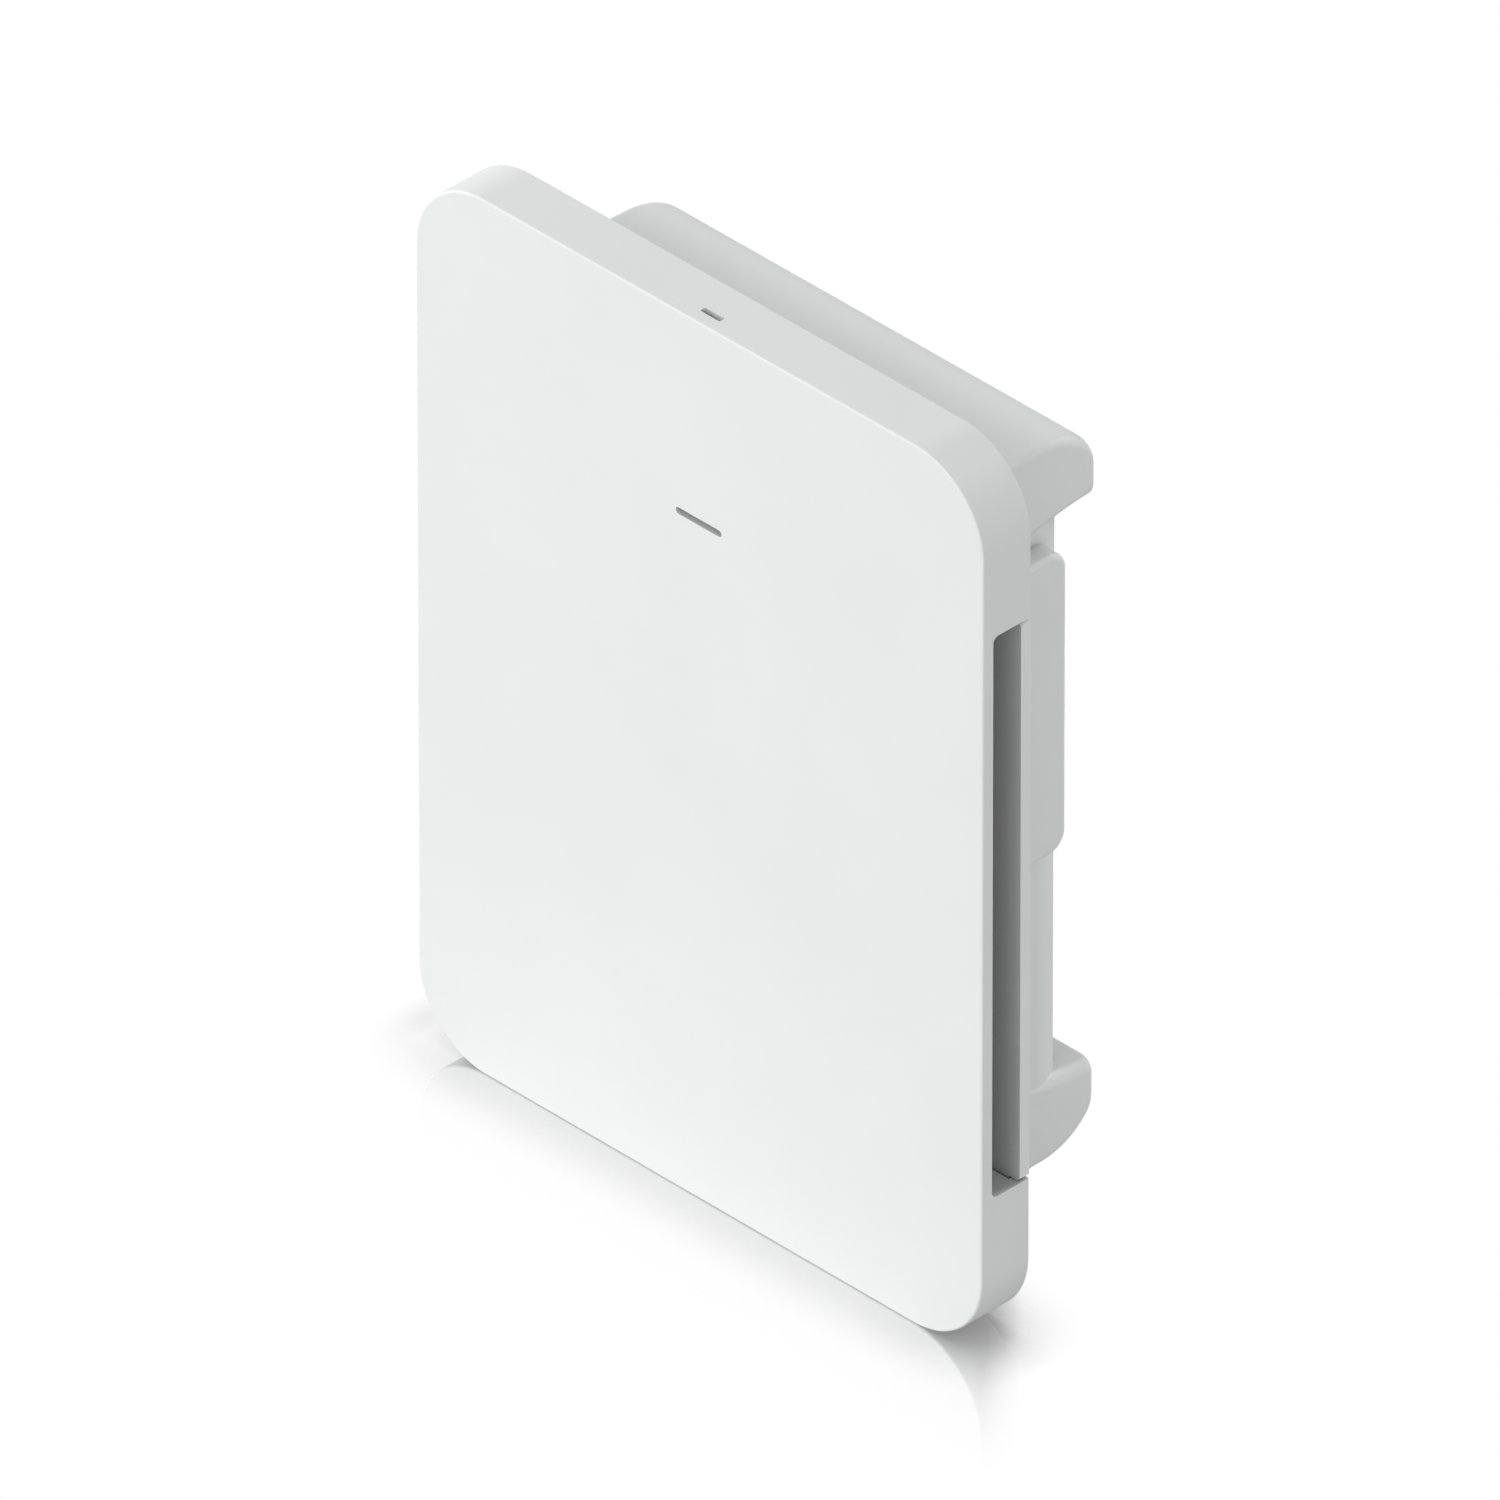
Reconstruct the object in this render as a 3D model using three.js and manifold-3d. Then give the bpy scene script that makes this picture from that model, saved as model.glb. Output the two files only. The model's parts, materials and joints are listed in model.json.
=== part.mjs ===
// A slim wall and ceiling access point on its bracket, as an assembly of separate pieces.
// Millimetres. +X to the right, +Y towards the wall, +Z up. The origin is the centre of the
// bracket's wall face, so the front of the cover is at Y = -DEPTH.
import * as THREE from "three";
import { mergeVertices } from "three/addons/utils/BufferGeometryUtils.js";
import Module from "manifold-3d";

const wasm = await Module();
wasm.setup();

// ---------------------------------------------------------------- driving dimensions
const DEPTH = 39.3; // front face to wall
const WALL = 2; // moulded wall
const GAP = 0.3; // clearance between neighbouring pieces
const LIFT = 8; // travel of the unit on its studs

const COVER = { width: 120, height: 159, depth: 10, corner: 14.4, edge: 0.4 };
const COVER_BACK = COVER.depth - DEPTH;
const COVER_INNER = WALL - DEPTH; // back of the cover's front wall
const PLATE_FRONT = COVER_BACK - WALL; // front of the housing's base plate
const COVER_SCREWS = { x: 50, z: 69 };
const VENT = { half: 50.8, front: COVER_INNER + 0.15, corner: 1.1, reach: 50 };
const LED = { z: 43.5, length: 9.7, height: 1.2 };
const PIN_SLOT = { y: COVER_BACK - 7.05, length: 4.2, width: 1.15 };

const BODY = { x: 44.3, z: 51.1, back: -3.5, corner: 8.85 };
const BODY_INNER = BODY.back - WALL;
const BAR = { x: 44.6, outer: 64.8, draft: 0.8, crown: 10, shoulder: 7.2, floor: 52.8 };
const BAR_EDGES = { outer: 1, crown: 2.6, inner: 2.2, end: 1.3, back: 0.8 };
const BAR_FOOT = { flare: 9.1, power: 1.85 };
const POD = { x: 48.3, bottom: -6, top: 48.2, back: -9.8, corner: 3.6, edge: 1 };
const POCKET = { x: 15, bottom: -44, top: -14, front: -19.4 };
const STUDS = { x: 28, z: [36, -28], neck: 2, head: 3.7 };

const BRACKET = { x: 34.5, bottom: -42.5, top: 49, sheet: 1.5, flange: 3.2 };
const CABLE_HOLE = { x: 15, bottom: -34, top: -14, corner: 5 };

const BOARD = { x: 36, z: 48, back: -21.3, thick: 1.6, screwX: 32, screwZ: 44 };
const BOARD_FRONT = BOARD.back - BOARD.thick;
const CAN_HEIGHT = 2.4;
const PAD = 0.7;
const SINK = { x: 28, z: 46, base: 2.2, finTip: 5.1, bossZ: 30 };
const SINK_POSTS = [
  [-24, -42],
  [24, 42],
];
const SINK_BACK = BOARD_FRONT - CAN_HEIGHT - PAD - 0.1;
const REFLECTOR = { x: 46, z: 68, front: COVER_INNER + 4.6, sheet: 1, corner: 6 };
const REFLECTOR_BACK = REFLECTOR.front + REFLECTOR.sheet;
const JACK = { x: 8, depth: 21.5, back: -7.9 };

const LEAF = { x: 4, back: BODY_INNER - 0.6, thick: 0.6, bottom: 12, top: 43.5, lip: 3.5 };
const LEAF_FRONT = LEAF.back - LEAF.thick;
const PLUNGER = { travel: 2.5, arm: 58.3, armThick: 2.5, tip: 47.6 };
const SPRING = { y: -20, radius: 2, wire: 0.25, turns: 3 };
const RESET = { x: 11.8, y: BOARD.back + 4, travel: 0.8 };

// ---------------------------------------------------------------- materials
const paint = (color, roughness, metalness = 0) =>
  new THREE.MeshStandardMaterial({ color, roughness, metalness });
const WHITE = paint(0xeceeee, 0.55);
const LENS = paint(0x55585a, 0.25);
const STEEL = paint(0xb4b7ba, 0.4, 1);
const SPRING_STEEL = paint(0x9da1a5, 0.3, 1);
const ALUMINIUM = paint(0xc3c6c9, 0.45, 1);
const TIN = paint(0xd2d4d4, 0.35, 1);
const BRASS = paint(0xc9a24a, 0.35, 1);
const BOARD_GREEN = paint(0x1f5a3c, 0.5);
const BLACK = paint(0x17181a, 0.6);
const PAD_GREY = paint(0x8d939a, 0.9);
const GREY = paint(0x9a9fa3, 0.6);

// ---------------------------------------------------------------- solids
function solid(geometry) {
  const bare = geometry.clone();
  bare.deleteAttribute("normal");
  bare.deleteAttribute("uv");
  const merged = mergeVertices(bare, 1e-4);
  return new wasm.Manifold(
    new wasm.Mesh({
      numProp: 3,
      vertProperties: merged.attributes.position.array,
      triVerts: new Uint32Array(merged.index.array),
    }),
  );
}

function geometryOf(body) {
  const { vertProperties, triVerts } = body.getMesh();
  const shared = new THREE.BufferGeometry()
    .setAttribute("position", new THREE.BufferAttribute(vertProperties, 3))
    .setIndex(new THREE.BufferAttribute(triVerts, 1));
  const flat = shared.toNonIndexed();
  flat.computeVertexNormals();
  return flat;
}

// A body through rings of points, each running anticlockwise as seen from the front, ordered
// from front to back and closed by a flat face at either end.
function loft(rings) {
  const count = rings[0].length;
  const last = (rings.length - 1) * count;
  const faces = [];
  for (let start = 0; start < last; start += count) {
    for (let i = 0; i < count; i++) {
      const a = start + i;
      const b = start + ((i + 1) % count);
      faces.push(a, b + count, b, a, a + count, b + count);
    }
  }
  for (let i = 1; i + 1 < count; i++) {
    faces.push(0, i, i + 1, last, last + i + 1, last + i);
  }
  return new wasm.Manifold(
    new wasm.Mesh({
      numProp: 3,
      vertProperties: new Float32Array(rings.flat(2)),
      triVerts: new Uint32Array(faces),
    }),
  );
}

const join = (...parts) => parts.reduce((a, b) => a.add(b));
const cut = (base, ...tools) => tools.reduce((a, b) => a.subtract(b), base);

const box = (x0, x1, y0, y1, z0, z1) =>
  solid(
    new THREE.BoxGeometry(x1 - x0, y1 - y0, z1 - z0).translate(
      (x0 + x1) / 2,
      (y0 + y1) / 2,
      (z0 + z1) / 2,
    ),
  );

// A round bar along Y, Z or X from a to b, about the point that the other two coordinates give.
const rodY = (radius, a, b, x, z, sides = 16) =>
  solid(
    new THREE.CylinderGeometry(radius, radius, b - a, sides).translate(x, (a + b) / 2, z),
  );
const rodZ = (radius, a, b, x, y, sides = 16) =>
  solid(
    new THREE.CylinderGeometry(radius, radius, b - a, sides)
      .rotateX(Math.PI / 2)
      .translate(x, y, (a + b) / 2),
  );

// An outline in XZ made solid along Y, one in YZ made solid along X, and one in XY along Z.
const extrude = (shape, length, curveSegments) =>
  new THREE.ExtrudeGeometry(shape, { depth: length, bevelEnabled: false, curveSegments });
const slabY = (shape, y0, y1, segments = 8) =>
  solid(extrude(shape, y1 - y0, segments).rotateX(Math.PI / 2).translate(0, y1, 0));
const YZ_ALONG_X = new THREE.Matrix4().makeBasis(
  new THREE.Vector3(0, 1, 0),
  new THREE.Vector3(0, 0, 1),
  new THREE.Vector3(1, 0, 0),
);
const slabX = (shape, x0, x1, segments = 8) =>
  solid(extrude(shape, x1 - x0, segments).applyMatrix4(YZ_ALONG_X).translate(x0, 0, 0));
const slabZ = (shape, z0, z1, segments = 8) =>
  solid(extrude(shape, z1 - z0, segments).translate(0, 0, z0));

// An outline in YZ made solid along X from -x to x, its end edges rounded.
const softSlabX = (shape, x, edge) =>
  solid(
    new THREE.ExtrudeGeometry(shape, {
      depth: 2 * (x - edge),
      curveSegments: 10,
      bevelThickness: edge,
      bevelSize: edge,
      bevelOffset: -edge,
      bevelSegments: 3,
    })
      .applyMatrix4(YZ_ALONG_X)
      .translate(edge - x, 0, 0),
  );

function roundedRect(x0, x1, y0, y1, r) {
  const s = new THREE.Shape();
  s.moveTo(x0 + r, y0);
  s.lineTo(x1 - r, y0);
  s.absarc(x1 - r, y0 + r, r, -Math.PI / 2, 0, false);
  s.lineTo(x1, y1 - r);
  s.absarc(x1 - r, y1 - r, r, 0, Math.PI / 2, false);
  s.lineTo(x0 + r, y1);
  s.absarc(x0 + r, y1 - r, r, Math.PI / 2, Math.PI, false);
  s.lineTo(x0, y0 + r);
  s.absarc(x0 + r, y0 + r, r, Math.PI, 1.5 * Math.PI, false);
  return s;
}

const centredRect = (width, height, r) =>
  roundedRect(-width / 2, width / 2, -height / 2, height / 2, r);

function obround(length, height, cx = 0, cy = 0) {
  const r = height / 2;
  return roundedRect(cx - length / 2, cx + length / 2, cy - r, cy + r, r * 0.999);
}

function piece(name, body, material, x = 0, y = 0, z = 0) {
  const mesh = new THREE.Mesh(body.isBufferGeometry ? body : geometryOf(body), material);
  mesh.name = name;
  mesh.position.set(x, y, z);
  return mesh;
}

const group = (...children) => new THREE.Group().add(...children);
const corners = (x, z) => [
  [-x, -z],
  [x, -z],
  [-x, z],
  [x, z],
];

// ---------------------------------------------------------------- front cover
// The cover's outside as a block, its front edge rounded by COVER.edge.
function coverBlock() {
  const { width, height, depth, corner, edge } = COVER;
  const rounded = new THREE.ExtrudeGeometry(centredRect(width, height, corner), {
    depth,
    curveSegments: 12,
    bevelThickness: edge,
    bevelSize: edge,
    bevelOffset: -edge,
    bevelSegments: 2,
  });
  rounded.rotateX(Math.PI / 2).translate(0, COVER_BACK + edge, 0);
  return cut(solid(rounded), box(-width, width, COVER_BACK, COVER_BACK + 2, -height, height));
}

function frontCover() {
  const shell = cut(
    coverBlock(),
    slabY(
      centredRect(
        COVER.width - 2 * WALL,
        COVER.height - 2 * WALL,
        COVER.corner - WALL,
      ),
      COVER_INNER,
      COVER_BACK + 1,
    ),
  );
  const ribEnd = PLATE_FRONT - GAP;
  const ribs = [-1, 1].flatMap((side) =>
    [-1, 1].map((end) => {
      const x = [side * VENT.reach, side * (COVER.width / 2 - 1)].sort((a, b) => a - b);
      const z = [end * (VENT.half - 0.5), end * (VENT.half + 1.5)].sort((a, b) => a - b);
      return box(...x, COVER_INNER - 1, ribEnd, ...z);
    }),
  );
  const bosses = corners(COVER_SCREWS.x, COVER_SCREWS.z).map(([x, z]) =>
    rodY(3, COVER_INNER - 1, ribEnd, x, z),
  );
  const notch = roundedRect(VENT.front, COVER_BACK + 5, -VENT.half, VENT.half, VENT.corner);
  const reach = COVER.width / 2 + 1;
  const pilots = corners(COVER_SCREWS.x, COVER_SCREWS.z).map(([x, z]) =>
    rodY(1.1, COVER_INNER + 0.5, ribEnd + 1, x, z, 10),
  );
  const led = slabY(
    obround(LED.length, LED.height, 0, LED.z),
    -DEPTH - 1,
    COVER_INNER + 1,
    4,
  );
  const pin = slabZ(
    roundedRect(
      -PIN_SLOT.length / 2,
      PIN_SLOT.length / 2,
      PIN_SLOT.y - PIN_SLOT.width / 2,
      PIN_SLOT.y + PIN_SLOT.width / 2,
      0.3,
    ),
    COVER.height / 2 - WALL - 1,
    COVER.height / 2 + 1,
    2,
  );
  return cut(
    join(shell, ...ribs, ...bosses),
    slabX(notch, VENT.reach - 1, reach, 4),
    slabX(notch, -reach, 1 - VENT.reach, 4),
    ...pilots,
    led,
    pin,
  );
}

function lightPipe() {
  const flange = COVER_INNER + 0.1;
  return join(
    slabY(obround(LED.length - 0.2, LED.height - 0.2), -DEPTH + GAP, flange + 0.5, 4),
    slabY(obround(14, 5), flange, flange + 1, 4),
    slabY(obround(6, 2.4), flange + 0.5, flange + 2.6, 4),
  );
}

// ---------------------------------------------------------------- rear housing
// How far an edge of this radius has drawn in at depth y, on its way round to the wall.
const drawnIn = (radius, y) =>
  y > -radius ? radius - Math.sqrt(Math.max(0, radius ** 2 - (y + radius) ** 2)) : 0;

// Section of the upper bar at depth y: its foot flares towards the base plate, its crown is a
// quarter of an ellipse, and its four long edges are rounded, the outer two more on the crown.
function barSection(y) {
  const front = PLATE_FRONT + 0.1;
  const { inner, end, back } = BAR_EDGES;
  const x = BAR.x - drawnIn(end, y);
  const spread = BAR_FOOT.flare * (y / front) ** BAR_FOOT.power;
  const bottom = BODY.z + drawnIn(back, y) - spread;
  const along = Math.min(1, Math.max(0, 1 + y / BAR.crown));
  const outer = BAR_EDGES.outer + (BAR_EDGES.crown - BAR_EDGES.outer) * along;
  const slope = (BAR.draft * Math.max(0, -BAR.crown - y)) / (-BAR.crown - front);
  const top = BAR.outer - BAR.shoulder * (1 - Math.sqrt(1 - along ** 2)) + slope;
  const s = new THREE.Shape();
  s.absarc(x - inner, bottom + inner, inner, -Math.PI / 2, 0, false);
  s.absarc(x - outer, top - outer, outer, 0, Math.PI / 2, false);
  s.absarc(outer - x, top - outer, outer, Math.PI / 2, Math.PI, false);
  s.absarc(inner - x, bottom + inner, inner, Math.PI, 1.5 * Math.PI, false);
  return s.getPoints(2).map((p) => [p.x, y, p.y]);
}

function upperBar() {
  const front = PLATE_FRONT + 0.1;
  const foot = [...Array(8).keys()].map((i) => front + (i / 8) * (-BAR.crown - front));
  const crown = [...Array(11).keys()].map((i) => -BAR.crown * (1 - Math.sin((i * Math.PI) / 20)));
  return loft([...foot, ...crown].map(barSection));
}

// Room inside the upper bar, seen from the side.
function barRoom() {
  const crown = BAR.crown - WALL;
  const shoulder = BAR.shoulder - WALL;
  const outer = BAR.outer - WALL;
  const s = new THREE.Shape();
  s.moveTo(PLATE_FRONT - 1, outer + BAR.draft);
  s.lineTo(-WALL - crown, outer);
  s.absellipse(-WALL - crown, outer - shoulder, crown, shoulder, Math.PI / 2, 0, true);
  s.lineTo(-WALL, BAR.floor);
  s.lineTo(PLATE_FRONT - 1, BAR.floor);
  return slabX(s, WALL - BAR.x, BAR.x - WALL);
}

// Outline of the body from above, square at the base plate and rounded at the back.
function bodyOutline(inset) {
  const x = BODY.x - inset;
  const back = BODY.back - inset;
  const r = BODY.corner - inset;
  const front = PLATE_FRONT - (inset ? 1 : -0.5);
  const s = new THREE.Shape();
  s.moveTo(-x, front);
  s.lineTo(x, front);
  s.lineTo(x, back - r);
  s.absarc(x - r, back - r, r, 0, Math.PI / 2, false);
  s.lineTo(r - x, back);
  s.absarc(r - x, back - r, r, Math.PI / 2, Math.PI, false);
  return s;
}

const mirrorZ = (body) => body.mirror([0, 0, 1]);

// Round end of the keyhole below each stud, and its slot up to the stud's neck.
function keyhole(x, z) {
  const through = [BODY_INNER - 1, BODY.back + 1];
  const neck = STUDS.neck + 0.2;
  return join(
    rodY(STUDS.head + 0.4, ...through, x, z - LIFT, 24),
    slabY(roundedRect(x - neck, x + neck, z - LIFT, z + neck, neck * 0.999), ...through, 6),
  );
}

function podOutline(inset) {
  return roundedRect(
    PLATE_FRONT - (inset ? 6 : -0.5),
    POD.back - inset,
    POD.bottom + inset,
    POD.top - inset,
    POD.corner - inset,
  );
}

function housingOutside() {
  const inset = WALL + GAP;
  const outline = centredRect(
    COVER.width - 2 * inset,
    COVER.height - 2 * inset,
    COVER.corner - inset,
  );
  const plate = slabY(outline, PLATE_FRONT, COVER_BACK);
  const tabs = box(
    -COVER.width / 2,
    COVER.width / 2,
    PLATE_FRONT,
    COVER_BACK,
    GAP - VENT.half,
    VENT.half - GAP,
  );
  const bar = upperBar();
  const body = slabZ(bodyOutline(0), -BODY.z - 1, BODY.z + 1);
  const pods = softSlabX(podOutline(0), POD.x, POD.edge);
  return join(plate, tabs, bar, mirrorZ(bar), body, pods);
}

function housingRoom() {
  const bar = barRoom();
  const pod = slabX(podOutline(WALL), WALL - POD.x, POD.x - WALL);
  const body = slabZ(bodyOutline(WALL), WALL - BODY.z, BODY.z - WALL);
  return join(bar, mirrorZ(bar), pod, body);
}

function rearHousing() {
  const standoffs = corners(BOARD.screwX, BOARD.screwZ).map(([x, z]) =>
    rodY(2.8, BOARD.back + 0.1, BODY_INNER + 0.5, x, z),
  );
  const pilots = corners(BOARD.screwX, BOARD.screwZ).map(([x, z]) =>
    rodY(1.1, BOARD.back - 1, BODY_INNER - 1, x, z, 10),
  );
  const pocketWall = box(
    -POCKET.x - WALL,
    POCKET.x + WALL,
    POCKET.front - 1.8,
    BODY.back - 0.5,
    POCKET.bottom - WALL,
    POCKET.top + WALL,
  );
  const pocket = slabY(
    roundedRect(-POCKET.x, POCKET.x, POCKET.bottom, POCKET.top, 2),
    POCKET.front,
    BODY.back + 1,
    4,
  );
  const jackWindow = box(
    -JACK.x - GAP,
    JACK.x + GAP,
    POCKET.front - 2,
    JACK.back + GAP,
    POCKET.top - 1,
    POCKET.top + WALL + 1,
  );
  const buttonHole = rodZ(1.7, POCKET.top - 1, POCKET.top + WALL + 1, RESET.x, RESET.y);
  const fingerSlot = box(
    -3.5,
    3.5,
    LEAF_FRONT - 3.6,
    BODY_INNER - 0.2,
    BODY.z - WALL - 1,
    BAR.floor + 1,
  );
  const toothWindow = box(-3.4, 3.4, BODY_INNER - 1, BODY.back + 1, 39.8, 43.6);
  const rivetHole = rodY(1.3, BODY_INNER - 1, BODY.back + 1, 0, LEAF.bottom + 4, 10);
  const keyholes = STUDS.z.flatMap((z) => [keyhole(-STUDS.x, z), keyhole(STUDS.x, z)]);
  const screwHoles = corners(COVER_SCREWS.x, COVER_SCREWS.z).flatMap(([x, z]) => [
    rodY(1.45, PLATE_FRONT - 1, COVER_BACK + 1, x, z, 12),
    rodY(2.7, COVER_BACK - 0.9, COVER_BACK + 1, x, z),
  ]);
  return cut(
    join(cut(housingOutside(), housingRoom()), ...standoffs, pocketWall),
    ...pilots,
    pocket,
    jackWindow,
    buttonHole,
    fingerSlot,
    toothWindow,
    rivetHole,
    ...keyholes,
    ...screwHoles,
  );
}

// ---------------------------------------------------------------- fasteners
// A pan-head screw along Y. Its head's underside is at Y = 0 and its shank points to -Y.
function screw(headRadius, headHeight, shankRadius, length) {
  const recess = headHeight * 0.6;
  return cut(
    join(
      rodY(headRadius, 0, headHeight, 0, 0, 14),
      rodY(shankRadius, -length, 0.1, 0, 0, 10),
    ),
    box(-headRadius * 0.55, headRadius * 0.55, headHeight - recess, headHeight + 1, -0.25, 0.25),
    box(-0.25, 0.25, headHeight - recess, headHeight + 1, -headRadius * 0.55, headRadius * 0.55),
  );
}

// Like screws at several places. turned ones are driven from the front.
function screws(prefix, body, places, y, turned = false) {
  return group(
    ...places.map(([x, z], i) => {
      const mesh = piece(`${prefix}_${i + 1}`, body, STEEL, x, y, z);
      if (turned) mesh.rotation.x = Math.PI;
      return mesh;
    }),
  );
}

// ---------------------------------------------------------------- radio: reflector and antennas
function reflector() {
  const armNotch = box(
    -5,
    5,
    REFLECTOR.front - 1,
    REFLECTOR_BACK + 1,
    PLUNGER.arm - PLUNGER.travel - 1,
    REFLECTOR.z + 1,
  );
  const cablePasses = [-1, 1].flatMap((side) =>
    ANTENNAS.map(({ pass }) =>
      slabY(
        obround(6, 5.4, side * PASS_X, pass),
        REFLECTOR.front - 1,
        REFLECTOR_BACK + 1,
        3,
      ),
    ),
  );
  const screwHoles = [-1, 1].map((end) =>
    rodY(1.4, REFLECTOR.front - 1, REFLECTOR_BACK + 1, 0, end * SINK.bossZ, 10),
  );
  return cut(
    slabY(
      centredRect(2 * REFLECTOR.x, 2 * REFLECTOR.z, REFLECTOR.corner),
      REFLECTOR.front,
      REFLECTOR_BACK,
      4,
    ),
    armNotch,
    ...cablePasses,
    ...screwHoles,
  );
}

// Each pair of antennas: height on the unit, size of the radiating plate, and the height at which
// its lead goes through the reflector.
const ANTENNAS = [
  { band: "low", z: -42, width: 26, height: 15, pass: -37 },
  { band: "mid", z: 48, width: 18, height: 12, pass: 33 },
  { band: "high", z: 4, width: 12, height: 12, pass: -9 },
];
const ANTENNA_X = 25;
const FEED_X = 7.75; // from the plate's outer edge to its feed leg
const PASS_X = 34;

// A folded inverted-F antenna: plate, grounded leg with its foot, feed leg, and a tuning slot.
// Local origin on the reflector under the middle of the plate. side is -1 left, 1 right.
function antenna({ width, height }, side) {
  const sheet = 0.4;
  const lift = 3.2;
  const w = width / 2;
  const h = height / 2;
  const feed = FEED_X - w;
  const left = cut(
    join(
      box(-w, w, -lift - sheet, -lift, -h, h),
      box(-w, -w + 4, -lift - 0.2, -0.1 - sheet, -h, -h + sheet),
      box(-w, -w + 4, -0.1 - sheet, -0.1, -h - 1.5, -h + sheet),
      box(feed - 0.75, feed + 0.75, -lift - 0.2, -1.6, -h, -h + sheet),
    ),
    box(w * 0.5 - 0.6, w * 0.5 + 0.6, -lift - 1, -lift + 1, -h * 0.3, h + 1),
  );
  return side < 0 ? left : left.mirror([1, 0, 0]);
}

// Coaxial lead from an antenna's feed, through the reflector, to its plug on the board.
function coaxLead({ z, width, height, pass }, side) {
  const lane = REFLECTOR.front - 0.75;
  const feedX = ANTENNA_X + width / 2 - FEED_X;
  const feedZ = z - height / 2 + 0.2;
  const way = Math.sign(pass - feedZ);
  const at = (x, y, height) => new THREE.Vector3(side * x, y, height);
  const path = new THREE.CatmullRomCurve3([
    at(feedX, lane, feedZ),
    at(feedX + 1.5, lane, feedZ + 2 * way),
    at(PASS_X - 1, lane, pass - 2.6 * way),
    at(PASS_X, REFLECTOR_BACK - 0.4, pass),
    at(PASS_X - 0.4, BOARD_FRONT - 4, pass),
    at(PASS_X - 0.6, BOARD_FRONT - 0.8, pass),
  ]);
  const round = new THREE.Shape().absarc(0, 0, 0.55, 0, 2 * Math.PI, false);
  const lead = solid(
    new THREE.ExtrudeGeometry(round, { steps: 16, curveSegments: 7, extrudePath: path }),
  );
  const plug = rodY(
    1.3,
    BOARD_FRONT - 1.7,
    BOARD_FRONT - 0.15,
    side * (PASS_X - 0.6),
    pass,
    12,
  );
  return join(lead, plug);
}

// ---------------------------------------------------------------- electronics
function mainBoard() {
  const outline = slabY(centredRect(2 * BOARD.x, 2 * BOARD.z, 2), BOARD_FRONT, BOARD.back, 3);
  const holes = [
    ...corners(BOARD.screwX, BOARD.screwZ),
    ...SINK_POSTS,
  ].map(([x, z]) => rodY(1.45, BOARD_FRONT - 1, BOARD.back + 1, x, z, 12));
  return cut(outline, ...holes);
}

const ledBoard = () =>
  slabY(centredRect(16, 8, 1), REFLECTOR.front - 1.1, REFLECTOR.front - 0.1, 3);
const statusLed = () =>
  box(-1.5, 1.5, REFLECTOR.front - 1.7, REFLECTOR.front - 1.15, -0.7, 0.7);

// Pressed lid, open towards the board. Local origin on the board under its middle.
function shieldCan(width, height) {
  const w = width / 2;
  const h = height / 2;
  return cut(
    join(
      box(-w, w, -CAN_HEIGHT, -0.1, -h, h),
      box(-w - 0.5, w + 0.5, -0.5, -0.1, -h - 0.5, h + 0.5),
    ),
    box(0.4 - w, w - 0.4, 0.4 - CAN_HEIGHT, 0, 0.4 - h, h - 0.4),
  );
}

const chip = (side) =>
  join(
    box(-side / 2, side / 2, -0.5, -0.05, -side / 2, side / 2),
    box(0.6 - side / 2, side / 2 - 0.6, -1.5, -0.3, 0.6 - side / 2, side / 2 - 0.6),
  );
const thermalPad = (width, height) =>
  box(-width / 2, width / 2, -PAD, 0, -height / 2, height / 2);

function heatSink() {
  const back = SINK_BACK;
  const front = back - SINK.base;
  const tip = back - SINK.finTip;
  const comb = new THREE.Shape();
  const fins = 9;
  const pitch = (2 * SINK.x - 1.6) / (fins - 1);
  comb.moveTo(-SINK.x, back);
  comb.lineTo(-SINK.x, tip);
  for (let i = 0; i < fins; i++) {
    const x = -SINK.x + i * pitch;
    if (i > 0) {
      comb.lineTo(x, front);
      comb.lineTo(x, tip);
    }
    comb.lineTo(x + 1.6, tip);
    if (i < fins - 1) comb.lineTo(x + 1.6, front);
  }
  comb.lineTo(SINK.x, back);
  const posts = SINK_POSTS.map(([x, z]) =>
    rodY(2.5, front + 0.5, BOARD_FRONT - 0.1, x, z, 14),
  );
  const bosses = [-1, 1].map((end) =>
    rodY(3, REFLECTOR_BACK + 0.1, front + 1, 0, end * SINK.bossZ, 14),
  );
  const postPilots = SINK_POSTS.map(([x, z]) =>
    rodY(1.1, BOARD_FRONT - 4.5, BOARD_FRONT + 1, x, z, 10),
  );
  const bossPilots = [-1, 1].map((end) =>
    rodY(1.1, REFLECTOR_BACK - 1, REFLECTOR_BACK + 3.5, 0, end * SINK.bossZ, 10),
  );
  return cut(
    join(slabZ(comb, -SINK.z, SINK.z), ...posts, ...bosses),
    ...postPilots,
    ...bossPilots,
  );
}

// Network jack, mouth down. Local origin at the middle of its mouth, on its back edge.
function jackShell() {
  const height = JACK.back - BOARD.back - 0.1;
  return cut(
    box(-JACK.x, JACK.x, -height, 0, 0, JACK.depth),
    box(-JACK.x + 0.4, JACK.x - 0.4, -height + 0.4, -0.4, -1, JACK.depth - 1.2),
  );
}

function jackInsert() {
  const height = JACK.back - BOARD.back - 0.1;
  const w = JACK.x - 0.6;
  const block = box(-w, w, -height + 0.6, -0.6, 0.4, JACK.depth - 1.5);
  const mouth = join(
    box(-5.95, 5.95, -height + 2.4, -height + 9.3, -1, 14),
    box(-3.2, 3.2, -height + 9, -height + 11, -1, 14),
  );
  const contacts = [...Array(8).keys()].map((i) => {
    const x = (i - 3.5) * 1.02;
    return box(x - 0.18, x + 0.18, -height + 2, -height + 3.2, 4, 14.5);
  });
  return join(cut(block, mouth), ...contacts);
}

function capacitor(radius, height) {
  return join(
    rodY(radius, 0.6, height, 0, 0, 20),
    box(-radius, radius, 0.1, 1, -radius, radius),
  );
}

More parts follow.
